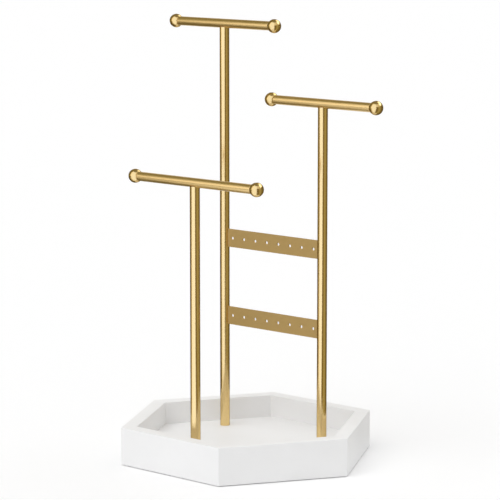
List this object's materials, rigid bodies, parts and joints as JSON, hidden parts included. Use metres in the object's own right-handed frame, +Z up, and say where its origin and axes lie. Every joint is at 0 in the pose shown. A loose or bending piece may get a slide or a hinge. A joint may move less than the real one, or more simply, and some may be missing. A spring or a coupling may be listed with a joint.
{
  "type": "jewellery stand",
  "caption": "Free-standing jewellery holder: gold posts with swivelling ball-ended T-bars at stepped heights, perforated earring strips between posts, on a white hexagonal tray.",
  "frame": {"origin": "on the table, at the centre of the hexagonal tray", "axes": "+Z up; -Y towards the short T-bar at the front; +X towards the middle-height T-bar, along the bars at rest"},
  "size_m": [0.2704, 0.22, 0.4227],
  "materials": {
    "white_lacquer": "satin white lacquer on fibreboard",
    "gold_tube": "satin gold plating on steel tube",
    "gold_strip": "matt gold plating on sheet steel",
    "zinc_steel": "zinc plated",
    "pad": "matt foam pad"
  },
  "bodies": {
    "stand": {"tray_floor": "white_lacquer", "wall_front": "white_lacquer", "wall_front_right": "white_lacquer", "wall_back_right": "white_lacquer", "wall_back": "white_lacquer", "wall_back_left": "white_lacquer", "wall_front_left": "white_lacquer", "foot_pads": "pad", "base_screws": "zinc_steel", "base_washers": "zinc_steel", "post_tall": "gold_tube", "foot_plug_tall": "zinc_steel", "top_plug_tall": "zinc_steel", "swivel_stud_tall": "zinc_steel", "post_middle": "gold_tube", "foot_plug_middle": "zinc_steel", "top_plug_middle": "zinc_steel", "swivel_stud_middle": "zinc_steel", "post_short": "gold_tube", "foot_plug_short": "zinc_steel", "top_plug_short": "zinc_steel", "swivel_stud_short": "zinc_steel", "earring_strip_upper": "gold_strip", "earring_strip_lower": "gold_strip"},
    "bar_tall": {"crossbar_tall": "gold_tube", "bar_core_tall": "zinc_steel", "ball_tall_left": "gold_tube", "ball_tall_right": "gold_tube"},
    "bar_middle": {"crossbar_middle": "gold_tube", "bar_core_middle": "zinc_steel", "ball_middle_left": "gold_tube", "ball_middle_right": "gold_tube"},
    "bar_short": {"crossbar_short": "gold_tube", "bar_core_short": "zinc_steel", "ball_short_left": "gold_tube", "ball_short_right": "gold_tube"}
  },
  "joints": [
    {"name": "swivel_tall", "type": "hinge", "parent": "stand", "child": "bar_tall", "pos_m": [-0.06344, 0.03662, 0.416], "axis": [0, 0, 1], "range_deg": [-90, 90]},
    {"name": "swivel_middle", "type": "hinge", "parent": "stand", "child": "bar_middle", "pos_m": [0.06344, 0.03662, 0.3455], "axis": [0, 0, 1], "range_deg": [-90, 90]},
    {"name": "swivel_short", "type": "hinge", "parent": "stand", "child": "bar_short", "pos_m": [0, -0.07325, 0.275], "axis": [0, 0, 1], "range_deg": [-90, 90]}
  ]
}
